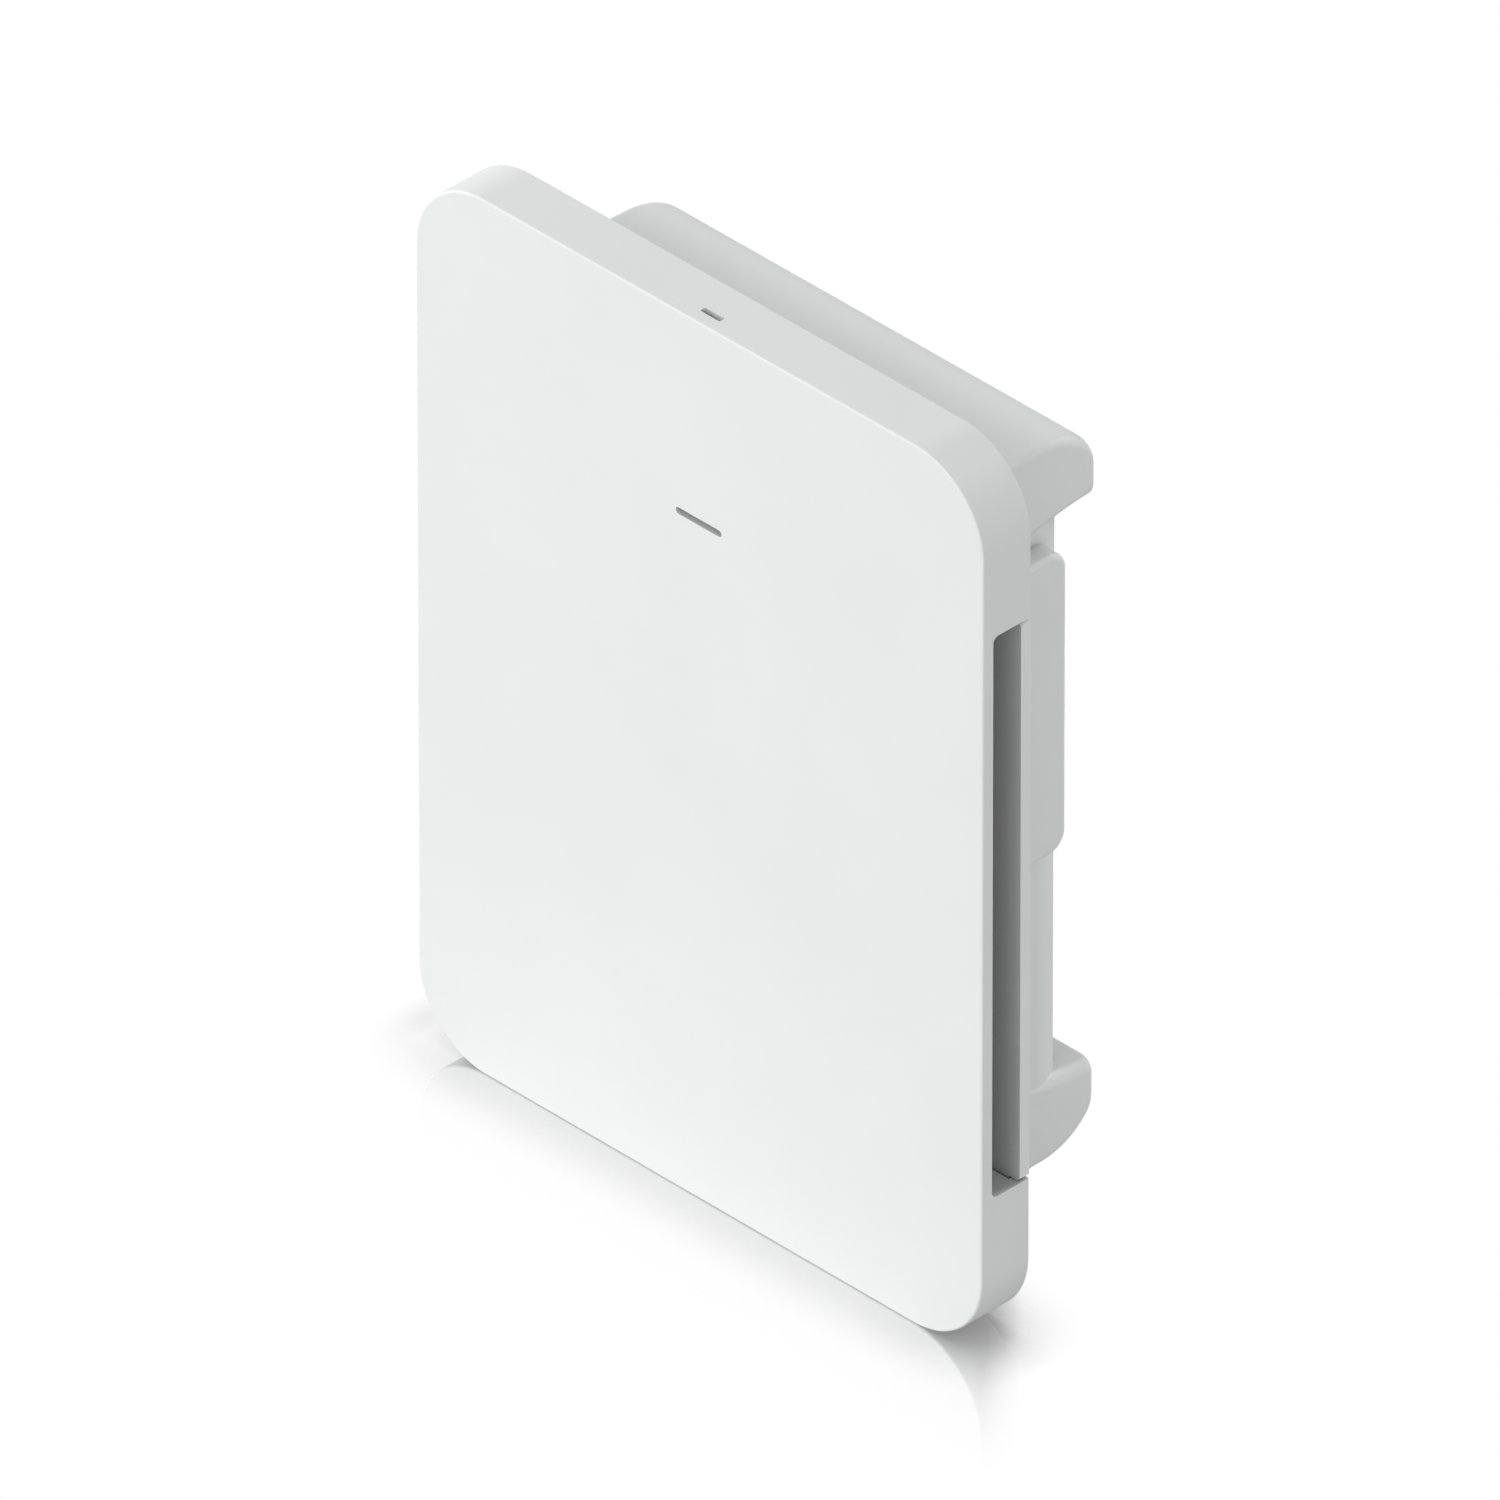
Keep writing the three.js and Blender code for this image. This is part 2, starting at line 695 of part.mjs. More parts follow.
function tactSwitch() {
  return join(box(-3, 3, 0.1, 6, 0, 3.5), rodZ(1.2, -0.3, 0.5, 0, 4, 12));
}

// ---------------------------------------------------------------- things a finger or a pin moves
// Reset button, pressed along +Z. Local origin at the middle of its face.
function resetButton() {
  return join(rodZ(1.5, 0, 5.1, 0, 0, 16), rodZ(2.3, 2.6, 3.4, 0, 0, 16));
}

// The release plunger: a stem under the pin slot, an arm back over the spring, and a wedge that
// comes down behind the leaf's lip. Moves along -Z.
function releasePlunger() {
  const { arm, armThick, tip } = PLUNGER;
  const stemTop = COVER.height / 2 - WALL + 0.9;
  const stemFront = COVER_INNER + GAP;
  const rear = BODY_INNER - 0.5;
  const wedge = new THREE.Shape();
  wedge.moveTo(rear, arm + 1);
  wedge.lineTo(rear, tip);
  wedge.lineTo(rear - 2.1, tip);
  wedge.lineTo(rear - 2.5, tip + 0.4);
  wedge.lineTo(rear - 2.5, arm + 1);
  const head = box(
    -PIN_SLOT.length / 2 + 0.2,
    PIN_SLOT.length / 2 - 0.2,
    PIN_SLOT.y - PIN_SLOT.width / 2 + 0.15,
    PIN_SLOT.y + PIN_SLOT.width / 2 - 0.15,
    stemTop - 2,
    stemTop,
  );
  return join(
    head,
    box(-3, 3, stemFront, stemFront + 1.9, arm, COVER.height / 2 - WALL - GAP),
    box(-3, 3, stemFront, rear, arm, arm + armThick),
    slabX(wedge, -2.5, 2.5),
  );
}

function plungerSpring() {
  const height = PLUNGER.arm - BAR.floor - 2 * SPRING.wire - 0.2;
  class Helix extends THREE.Curve {
    getPoint(t, target = new THREE.Vector3()) {
      const turn = 2 * Math.PI * SPRING.turns * t;
      return target.set(
        SPRING.radius * Math.cos(turn),
        SPRING.radius * Math.sin(turn),
        SPRING.wire + 0.1 + height * t,
      );
    }
  }
  const wire = new THREE.Shape().absarc(0, 0, SPRING.wire, 0, 2 * Math.PI, false);
  return solid(
    new THREE.ExtrudeGeometry(wire, {
      steps: 12 * SPRING.turns,
      curveSegments: 6,
      extrudePath: new Helix(),
    }),
  );
}

// Spring-steel leaf inside the housing's back wall. Its tooth reaches through to the bracket.
function latchLeaf() {
  const { x, back, thick, bottom, top, lip } = LEAF;
  const bent = new THREE.Shape();
  bent.moveTo(LEAF_FRONT, top - 0.5);
  bent.lineTo(back, top - 0.5);
  bent.lineTo(back, top);
  bent.lineTo(back - 2.4, top + lip);
  bent.lineTo(LEAF_FRONT - 2.4, top + lip);
  bent.lineTo(LEAF_FRONT, top);
  return cut(
    join(
      box(-x, x, LEAF_FRONT, back, bottom, top),
      slabX(bent, -x, x),
      box(-3, 3, back - 0.1, -0.6, 40.3, 43),
    ),
    rodY(1.3, LEAF_FRONT - 1, back + 1, 0, bottom + 4, 10),
  );
}

function latchRivet() {
  const inner = LEAF_FRONT - 0.1;
  return join(
    rodY(2.1, inner - 0.9, inner, 0, 0, 14),
    rodY(1.15, inner - 0.5, BODY.back + 0.3, 0, 0, 10),
    rodY(2.1, BODY.back + 0.1, BODY.back + 0.9, 0, 0, 14),
  );
}

// ---------------------------------------------------------------- wall bracket
function wallBracket() {
  const { x, bottom, top, sheet, flange } = BRACKET;
  const sheetShape = roundedRect(-x, x, bottom, top, 4);
  const plate = slabY(sheetShape, -sheet, 0, 4);
  const flanges = [-x, x - sheet].map((x0) =>
    box(x0, x0 + sheet, -flange, -0.5, bottom + 6, top - 6),
  );
  const cable = slabY(
    roundedRect(-CABLE_HOLE.x, CABLE_HOLE.x, CABLE_HOLE.bottom, CABLE_HOLE.top, CABLE_HOLE.corner),
    -sheet - 1,
    1,
    4,
  );
  const slot = (cx, cz, length, height) =>
    slabY(obround(length, height, cx, cz), -sheet - 1, 1, 4);
  const wallSlots = [
    slot(-18, 24, 10, 4.6),
    slot(18, 24, 10, 4.6),
    slot(-24, -14, 8, 4.6),
    slot(24, -14, 8, 4.6),
  ];
  const boxSlots = [slot(0, 35, 7, 4.4), slot(0, -38.3, 7, 3.8)];
  const latch = box(-3.8, 3.8, -sheet - 1, 1, 40, 43.6);
  const studHoles = STUDS.z.flatMap((z) =>
    [-STUDS.x, STUDS.x].map((cx) => rodY(1.55, -sheet - 1, 1, cx, z, 12)),
  );
  return cut(
    join(plate, ...flanges),
    cable,
    ...wallSlots,
    ...boxSlots,
    latch,
    ...studHoles,
  );
}

// Shouldered stud riveted in the bracket; the housing's keyholes hang on its head.
function bracketStud() {
  const headBack = BODY_INNER - GAP;
  return join(
    rodY(1.45, -BRACKET.sheet - 0.3, -0.1, 0, 0, 12),
    rodY(STUDS.neck, headBack - 0.5, -BRACKET.sheet - 0.1, 0, 0, 16),
    rodY(STUDS.head, headBack - 1.5, headBack, 0, 0, 20),
  );
}

// ---------------------------------------------------------------- assembly
const bracketGroup = group(
  piece("wall_bracket", wallBracket(), STEEL),
  ...STUDS.z.flatMap((z, row) =>
    [-STUDS.x, STUDS.x].map((x, i) =>
      piece(`bracket_stud_${2 * row + i + 1}`, bracketStud(), STEEL, x, 0, z),
    ),
  ),
);

const shellGroup = group(
  piece("front_cover", frontCover(), WHITE),
  piece("light_pipe", lightPipe(), LENS, 0, 0, LED.z),
  piece("rear_housing", rearHousing(), WHITE),
  screws(
    "cover_screw",
    screw(2.4, 0.8, 1.0, 5.5),
    corners(COVER_SCREWS.x, COVER_SCREWS.z),
    COVER_BACK - 0.85,
  ),
);

const radioGroup = group(
  piece("antenna_reflector", reflector(), ALUMINIUM),
  ...ANTENNAS.flatMap((a) =>
    [-1, 1].flatMap((side) => {
      const label = `${a.band}_${side < 0 ? "left" : "right"}`;
      return [
        piece(
          `antenna_${label}`,
          antenna(a, side),
          TIN,
          side * ANTENNA_X,
          REFLECTOR.front,
          a.z,
        ),
        piece(`coax_${label}`, coaxLead(a, side), BLACK),
      ];
    }),
  ),
  piece("led_board", ledBoard(), BOARD_GREEN, 0, 0, LED.z),
  piece("status_led", statusLed(), LENS, 0, 0, LED.z),
);
radioGroup.add(
  screws(
    "reflector_screw",
    screw(2.4, 0.9, 1.0, 4.2),
    [
      [0, -SINK.bossZ],
      [0, SINK.bossZ],
    ],
    REFLECTOR.front - 0.05,
    true,
  ),
);

const CANS = [
  { name: "processor", x: 0, z: 12, width: 30, height: 30, chip: 19 },
  { name: "radio_left", x: -13.5, z: -25, width: 22, height: 26, chip: 12 },
  { name: "radio_right", x: 13.5, z: -25, width: 22, height: 26, chip: 12 },
];
const boardGroup = group(
  piece("main_board", mainBoard(), BOARD_GREEN),
  ...CANS.flatMap(({ name, x, z, width, height, chip: side }) => [
    piece(`chip_${name}`, chip(side), BLACK, x, BOARD_FRONT, z),
    piece(`shield_${name}`, shieldCan(width, height), TIN, x, BOARD_FRONT, z),
    piece(
      `thermal_pad_${name}`,
      thermalPad(width - 4, height - 4),
      PAD_GREY,
      x,
      BOARD_FRONT - CAN_HEIGHT - 0.05,
      z,
    ),
  ]),
  piece("heat_sink", heatSink(), ALUMINIUM),
  piece("jack_shell", jackShell(), STEEL, 0, JACK.back, POCKET.top + 0.2),
  piece("jack_insert", jackInsert(), BLACK, 0, JACK.back, POCKET.top + 0.2),
  piece("line_transformer", box(-7.5, 7.5, 0.1, 6, -4.5, 4.5), BLACK, 0, BOARD.back, 15),
  piece("power_transformer", box(-8, 8, 0.1, 11.5, -9, 9), GREY, -19, BOARD.back, 18),
  piece("power_inductor", box(-4, 4, 0.1, 4.5, -4, 4), GREY, -20, BOARD.back, 0),
  piece("capacitor_1", capacitor(4, 10.5), ALUMINIUM, 19, BOARD.back, 22),
  piece("capacitor_2", capacitor(4, 10.5), ALUMINIUM, 19, BOARD.back, 12),
  piece("tact_switch", tactSwitch(), BLACK, RESET.x, BOARD.back, POCKET.top + 6.2),
  screws(
    "board_screw",
    screw(2.4, 0.9, 1.0, 6),
    corners(BOARD.screwX, BOARD.screwZ),
    BOARD_FRONT - 0.05,
    true,
  ),
  screws("sink_screw", screw(2.2, 0.9, 1.0, 5.5), SINK_POSTS, BOARD.back + 0.05),
);

const controlsGroup = group(
  piece("reset_button", resetButton(), GREY, RESET.x, RESET.y, POCKET.top - 0.1),
  piece("release_plunger", releasePlunger(), WHITE),
  piece("plunger_spring", plungerSpring(), SPRING_STEEL, 0, SPRING.y, BAR.floor),
  piece("latch_leaf", latchLeaf(), SPRING_STEEL),
  piece("latch_rivet", latchRivet(), STEEL, 0, 0, LEAF.bottom + 4),
);

export default group(
  bracketGroup,
  group(shellGroup, radioGroup, boardGroup, controlsGroup),
);
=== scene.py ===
"""Wireless access point on its bracket, standing on its lower edge on a pale studio floor."""
import json
import math

import bmesh
import bpy
from mathutils import Matrix, Vector

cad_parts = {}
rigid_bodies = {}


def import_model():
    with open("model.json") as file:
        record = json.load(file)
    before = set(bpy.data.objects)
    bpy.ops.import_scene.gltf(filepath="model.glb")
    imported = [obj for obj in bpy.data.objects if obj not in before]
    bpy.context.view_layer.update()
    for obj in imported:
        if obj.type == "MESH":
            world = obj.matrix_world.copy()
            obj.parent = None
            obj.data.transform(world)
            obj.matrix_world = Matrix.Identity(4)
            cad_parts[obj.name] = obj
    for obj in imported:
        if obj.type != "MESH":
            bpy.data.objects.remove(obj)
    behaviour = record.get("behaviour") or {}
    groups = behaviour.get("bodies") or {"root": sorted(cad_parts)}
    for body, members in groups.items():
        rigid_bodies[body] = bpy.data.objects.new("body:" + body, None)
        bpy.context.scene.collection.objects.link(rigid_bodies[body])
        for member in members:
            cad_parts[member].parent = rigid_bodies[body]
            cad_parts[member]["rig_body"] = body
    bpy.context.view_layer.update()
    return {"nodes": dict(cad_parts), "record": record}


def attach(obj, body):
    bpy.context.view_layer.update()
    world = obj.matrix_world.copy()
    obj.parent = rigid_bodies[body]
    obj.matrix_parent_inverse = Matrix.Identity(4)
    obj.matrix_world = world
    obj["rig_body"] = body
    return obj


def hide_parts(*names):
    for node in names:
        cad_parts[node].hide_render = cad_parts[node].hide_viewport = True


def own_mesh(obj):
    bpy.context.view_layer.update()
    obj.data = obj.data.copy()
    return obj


MM = 0.001
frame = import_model()

# ------------------------------------------------------------------ sizes, in mm
DEPTH, WALL, GAP = 39.3, 2.0, 0.3
W, H, COVER_T, CORNER, EDGE = 120.0, 159.0, 10.0, 14.4, 0.4
COVER_BACK = COVER_T - DEPTH
COVER_INNER = WALL - DEPTH
PLATE_FRONT = COVER_BACK - WALL
VENT_Z, VENT_FRONT, VENT_R, VENT_REACH = 50.8, COVER_INNER + 0.15, 1.1, 50.0
LED_Z, LED_L, LED_H = 43.5, 9.7, 1.2
PIN_Y, PIN_L, PIN_W = COVER_BACK - 7.05, 4.2, 1.15
SCREW_X, SCREW_Z = 50.0, 69.0
BODY_X, BODY_Z, BODY_BACK, BODY_R = 44.3, 51.1, -3.5, 8.85
BODY_INNER = BODY_BACK - WALL
BAR_X, BAR_OUTER, BAR_DRAFT, BAR_CROWN, BAR_SHOULDER, BAR_FLOOR = 44.6, 64.8, 0.8, 10.0, 7.2, 52.8
EDGE_OUTER, EDGE_CROWN, EDGE_INNER, EDGE_END, EDGE_BACK = 1.0, 2.6, 2.2, 1.3, 0.8
FOOT_FLARE, FOOT_POWER = 9.1, 1.85
POD_X, POD_LOW, POD_HIGH, POD_BACK, POD_R = 48.3, -6.0, 48.2, -9.8, 3.6
POCKET_X, POCKET_LOW, POCKET_HIGH, POCKET_FRONT, POCKET_R = 15.0, -44.0, -14.0, -19.4, 2.0
JACK_X, JACK_BACK, RESET_X, RESET_Y, RESET_R = 8.3, -7.6, 11.8, -17.3, 1.7
STUD_X, STUD_ZS, STUD_NECK, STUD_HEAD, LIFT = 28.0, (36.0, -28.0), 2.0, 3.7, 8.0
LUG_X, LUG_Z, LUG_R, LUG_FRONT = 32.0, 44.0, 2.8, -21.2
BOSS_R, PILOT_R, SCREW_R, SCREW_HEAD_R, SCREW_SINK = 3.0, 1.1, 1.45, 2.7, 0.9
PRESS_ARM, PRESS_TRAVEL, PRESS_X, PRESS_DEPTH, SPRING_Y = 58.3, 2.5, 3.5, 4.8, -20.0
LEAF_Y, LEAF_ROOT, LEAF_LEAN, LEAF_KEEP = -6.4, 16.0, 0.2, 0.78
TOOTH_X, TOOTH_LOW, TOOTH_HIGH, RIVET_R = 3.4, 39.8, 43.6, 1.3
SWEEP = 0.35  # fillet where the body meets the bars

# ------------------------------------------------------------------ studio settings
CAMERA_AZIMUTH, CAMERA_ELEVATION, CAMERA_ROLL = 45.26911, 34.62638, -0.00283
CAMERA_LENS, CAMERA_SENSOR, CAMERA_AWAY = 1542.5065, 36, 80 * W
CAMERA_AIM = (0.00662 * W, COVER_BACK, -0.01833 * W)
WORLD_LEVEL, WORLD_TILT = 0.76, (-0.40, -0.50, -0.35)
# CONTACT settings size the painted contact shadow on the floor sheet.
CONTACT, CONTACT_REACH, CONTACT_POWER = (0.45, 0.62), 12.0, 1.4
MIRROR, MIRROR_REACH, MIRROR_POWER = 0.62, 25.0, 2.3
FLOOR_SIZE, FLOOR_DROP, FLOOR_BOUNCE = 4, 0.00002, 0.98
LIGHTS = (
    # name, place, target, size in metres, power in watts
    ("key", (-0.4, -1.4, 0.95), (0, 0, 0), 0.6, 7.8),
    ("rim", (0.2, 1.5, 0.8), (0, 0, 0), 0.8, 12.4),
    ("left", (-1.6, 0.0, 0.5), (0, 0, 0), 0.8, 9.7),
    ("right", (1.6, -0.2, 0.3), (0, 0, 0), 0.8, 6.9),
    ("fill", (-0.5, -0.9, -0.02), (0, 0, -0.05), 0.5, 2.1),
)


# ------------------------------------------------------------------ outlines, in mm
def arc(cx, cy, r, a0, a1, n):
    """n + 1 points on an arc, angles in degrees."""
    out = []
    for i in range(n + 1):
        a = math.radians(a0 + (a1 - a0) * i / n)
        out.append((cx + r * math.cos(a), cy + r * math.sin(a)))
    return out


def rounded(x0, x1, y0, y1, r, n=12):
    """A rectangle with corners of radius r, anticlockwise."""
    return (
        arc(x1 - r, y0 + r, r, -90, 0, n)
        + arc(x1 - r, y1 - r, r, 0, 90, n)
        + arc(x0 + r, y1 - r, r, 90, 180, n)
        + arc(x0 + r, y0 + r, r, 180, 270, n)
    )


def obround(length, height, cx=0.0, cy=0.0, n=12):
    """A slot with round ends."""
    x, y = length / 2, height / 2
    return rounded(cx - x, cx + x, cy - y, cy + y, y - 1e-3, n)


def circle(cx, cy, r, n=32):
    return arc(cx, cy, r, 0, 360 - 360 / n, n - 1)


def inset(points, d):
    """The closed outline moved inwards by d, for outlines that run anticlockwise."""
    if d == 0:
        return list(points)
    out = []
    n = len(points)
    for i in range(n):
        p, q, s = Vector(points[i - 1]), Vector(points[i]), Vector(points[(i + 1) % n])
        a, b = (q - p), (s - q)
        if a.length < 1e-9:
            a = b
        if b.length < 1e-9:
            b = a
        na = Vector((-a.y, a.x)).normalized()
        nb = Vector((-b.y, b.x)).normalized()
        m = na + nb
        k = d / max(0.3, m.dot(na)) if m.length > 1e-6 else 0
        out.append(tuple(q + m * k))
    return out


def corners(x, z):
    return [(sx * x, sz * z) for sz in (-1, 1) for sx in (-1, 1)]


# ------------------------------------------------------------------ solids
def along_x(u, v, t):
    """Places an outline (y, z) at depth x."""
    return (t, u, v)


def along_y(u, v, t):
    """Places an outline (x, z) at depth y."""
    return (u, t, v)


def along_z(u, v, t):
    """Places an outline (x, y) at depth z."""
    return (u, v, t)


def loft(name, rings):
    """A closed solid through rings of equally many 3-D points in mm, capped at both ends."""
    bm = bmesh.new()
    rows = [[bm.verts.new(Vector(p) * MM) for p in ring] for ring in rings]
    n = len(rows[0])
    for a, b in zip(rows, rows[1:]):
        for i in range(n):
            bm.faces.new((a[i], a[(i + 1) % n], b[(i + 1) % n], b[i]))
    bm.faces.new(list(reversed(rows[0])))
    bm.faces.new(rows[-1])
    bmesh.ops.remove_doubles(bm, verts=bm.verts, dist=1e-7)
    bmesh.ops.dissolve_degenerate(bm, edges=bm.edges, dist=1e-7)
    bmesh.ops.recalc_face_normals(bm, faces=bm.faces)
    return to_object(name, bm)


def to_object(name, bm):
    mesh = bpy.data.meshes.new(name)
    bm.to_mesh(mesh)
    bm.free()
    obj = bpy.data.objects.new(name, mesh)
    bpy.context.scene.collection.objects.link(obj)
    return obj


def end_steps(radius, n):
    """(inset, distance from the end) pairs that round an end edge."""
    if not radius:
        return [(0.0, 0.0)]
    angles = [math.radians(90 * i / n) for i in range(n + 1)]
    return [(radius * (1 - math.sin(a)), radius * (1 - math.cos(a))) for a in angles]


def prism(outline, t0, t1, put, r0=0.0, r1=0.0, n=5, name="tool"):
    """The outline made solid from t0 to t1, its two end edges rounded by r0 and r1."""
    steps = [(d, t0 + t) for d, t in end_steps(r0, n)]
    steps += [(d, t1 - t) for d, t in reversed(end_steps(r1, n))]
    return loft(name, [[put(u, v, t) for u, v in inset(outline, d)] for d, t in steps])


def block(x0, x1, y0, y1, z0, z1, name="tool"):
    return prism([(x0, z0), (x1, z0), (x1, z1), (x0, z1)], y0, y1, along_y, name=name)


def combine(base, operation, tools):
    """Unites base with the tools or cuts them from it, and removes the tools."""
    for tool in tools:
        mod = base.modifiers.new("combine", "BOOLEAN")
        mod.operation = operation
        mod.solver = "EXACT"
        mod.object = tool
        bake(base)
        bpy.data.objects.remove(tool)


def bake(obj):
    """Applies every modifier."""
    graph = bpy.context.evaluated_depsgraph_get()
    graph.update()
    mesh = bpy.data.meshes.new_from_object(obj.evaluated_get(graph))
    obj.modifiers.clear()
    old = obj.data
    obj.data = mesh
    bpy.data.meshes.remove(old)


def flipped(obj):
    """A copy of obj turned top to bottom, as in a mirror."""
    bm = bmesh.new()
    bm.from_mesh(obj.data)
    bmesh.ops.scale(bm, vec=(1, 1, -1), verts=bm.verts)
    bmesh.ops.reverse_faces(bm, faces=bm.faces)
    return to_object(obj.name + "_m", bm)


def merge_flat(bm):
    """Drops doubled points and the edges inside flat faces."""
    bmesh.ops.remove_doubles(bm, verts=bm.verts, dist=2e-6)
    bmesh.ops.dissolve_limit(
        bm, angle_limit=math.radians(0.6), verts=bm.verts, edges=bm.edges, delimit={"NORMAL"}
    )


def soften(obj, width, angle=38, segments=3):
    """Rounds the edges sharper than angle, by width in mm, then sets smooth shading."""
    bm = bmesh.new()
    bm.from_mesh(obj.data)
    merge_flat(bm)
    sharp = math.radians(angle)
    edges = [e for e in bm.edges if len(e.link_faces) == 2 and e.calc_face_angle(0) > sharp]
    if edges and width:
        bmesh.ops.bevel(
            bm,
            geom=edges,
            offset=width * MM,
            segments=segments,
            profile=0.5,
            affect="EDGES",
            clamp_overlap=True,
        )
    bm.to_mesh(obj.data)
    bm.free()
    shade(obj)
    return obj


def shade(obj):
    """Smooth shading, with the edges sharper than 32 degrees left crisp."""
    obj.data.shade_smooth()
    obj.data.set_sharp_from_angle(angle=math.radians(32))
    mod = obj.modifiers.new("normals", "WEIGHTED_NORMAL")
    mod.keep_sharp = True
    mod.weight = 100


# ------------------------------------------------------------------ front cover
def front_cover():
    """Five-sided shell: rings run from its inner floor out to the wall and round to the front."""
    outline = rounded(-W / 2, W / 2, -H / 2, H / 2, CORNER, 40)
    steps = [(WALL, COVER_INNER), (WALL, COVER_BACK - 0.2), (WALL - 0.2, COVER_BACK)]
    steps += [(0.12, COVER_BACK), (0.0, COVER_BACK - 0.12)]
    for i in range(7):
        a = math.radians(90 * i / 6)
        steps.append((EDGE * (1 - math.cos(a)), -DEPTH + EDGE * (1 - math.sin(a))))
    rings = [[(u, t, v) for u, v in inset(outline, d)] for d, t in steps]
    shell = loft("cover_shell", rings)
    end = PLATE_FRONT - GAP
    ribs = []
    for side in (-1, 1):
        for top in (-1, 1):
            xs = sorted((side * VENT_REACH, side * (W / 2 - 1)))
            zs = sorted((top * (VENT_Z - 0.5), top * (VENT_Z + 1.5)))
            ribs.append(block(*xs, COVER_INNER - 1, end, *zs))
    bosses = [
        prism(circle(x, z, BOSS_R), COVER_INNER - 1, end, along_y)
        for x, z in corners(SCREW_X, SCREW_Z)
    ]
    combine(shell, "UNION", ribs + bosses)
    notch = rounded(VENT_FRONT, COVER_BACK + 5, -VENT_Z, VENT_Z, VENT_R, 8)
    cuts = [
        prism(notch, VENT_REACH - 1, W / 2 + 1, along_x),
        prism(notch, -W / 2 - 1, 1 - VENT_REACH, along_x),
        prism(obround(LED_L, LED_H, 0, LED_Z), -DEPTH - 1, COVER_INNER + 1, along_y),
        prism(
            rounded(-PIN_L / 2, PIN_L / 2, PIN_Y - PIN_W / 2, PIN_Y + PIN_W / 2, 0.3, 5),
            H / 2 - WALL - 1,
            H / 2 + 1,
            along_z,
        ),
    ]
    cuts += [
        prism(circle(x, z, PILOT_R, 16), COVER_INNER + 0.5, end + 1, along_y)
        for x, z in corners(SCREW_X, SCREW_Z)
    ]
    combine(shell, "DIFFERENCE", cuts)
    return soften(shell, 0.16, 40, 2)


# ------------------------------------------------------------------ rear housing
def drawn_in(radius, y):
    """How far an edge of this radius has drawn in at depth y, on its way round to the wall."""
    return radius - math.sqrt(max(0.0, radius**2 - (y + radius) ** 2)) if y > -radius else 0.0


def bar_section(y):
    """Section of the upper bar at depth y: flared foot, elliptical crown, four rounded edges."""
    front = PLATE_FRONT + 0.1
    x = BAR_X - drawn_in(EDGE_END, y)
    spread = FOOT_FLARE * (y / front) ** FOOT_POWER
    low = BODY_Z + drawn_in(EDGE_BACK, y) - spread
    along = min(1.0, max(0.0, 1 + y / BAR_CROWN))
    outer = EDGE_OUTER + (EDGE_CROWN - EDGE_OUTER) * along
    slope = BAR_DRAFT * max(0.0, -BAR_CROWN - y) / (-BAR_CROWN - front)
    high = BAR_OUTER - BAR_SHOULDER * (1 - math.sqrt(1 - along**2)) + slope
    line = (
        arc(x - EDGE_INNER, low + EDGE_INNER, EDGE_INNER, -90, 0, 8)
        + arc(x - outer, high - outer, outer, 0, 90, 8)
        + arc(outer - x, high - outer, outer, 90, 180, 8)
        + arc(EDGE_INNER - x, low + EDGE_INNER, EDGE_INNER, 180, 270, 8)
    )
    return [(u, y, v) for u, v in line]


def upper_bar():
    """The bar above the body, from the base plate back to the wall."""
    front = PLATE_FRONT + 0.1
    depths = [front + i / 22 * (-BAR_CROWN - front) for i in range(22)]
    depths += [BAR_CROWN * (math.sin(math.radians(90 * i / 40)) - 1) for i in range(41)]
    return loft("bar", [bar_section(y) for y in depths])


def bar_room():
    """Room inside the upper bar."""
    crown, shoulder, outer = BAR_CROWN - WALL, BAR_SHOULDER - WALL, BAR_OUTER - WALL
    outline = [(PLATE_FRONT - 1, BAR_FLOOR), (-WALL, BAR_FLOOR)]
    for i in range(13):
        a = math.radians(90 * i / 12)
        y = crown * (math.cos(a) - 1) - WALL
        outline.append((y, outer - shoulder + shoulder * math.sin(a)))
    outline.append((PLATE_FRONT - 1, outer + BAR_DRAFT))
    return prism(outline, WALL - BAR_X, BAR_X - WALL, along_x)


def body_outline(d=0.0):
    """Outline (x, y) of the body: square at the base plate, rounded at the back."""
    x, back, r = BODY_X - d, BODY_BACK - d, BODY_R - d
    front = PLATE_FRONT + (-1 if d else 0.5)
    return (
        [(-x, front), (x, front)]
        + arc(x - r, back - r, r, 0, 90, 28)
        + arc(r - x, back - r, r, 90, 180, 28)
    )


def body_block():
    """The body, its walls swept out into the inner faces of the two bars."""
    levels = [(BODY_Z + 1, SWEEP)]
    for i in range(7):
        h = SWEEP * (1 - math.cos(math.radians(15 * i)))
        levels.append((BODY_Z - h, SWEEP - math.sqrt(SWEEP**2 - (SWEEP - h) ** 2)))
    levels = [(-z, d) for z, d in levels] + [(z, d) for z, d in reversed(levels)]
    limit, front = BODY_X + 0.1, PLATE_FRONT + 0.5
    rings = []
    for z, d in levels:
        grown = inset(body_outline(), -d)
        rings.append([(max(-limit, min(limit, u)), max(front, v), z) for u, v in grown])
    return loft("body", rings)


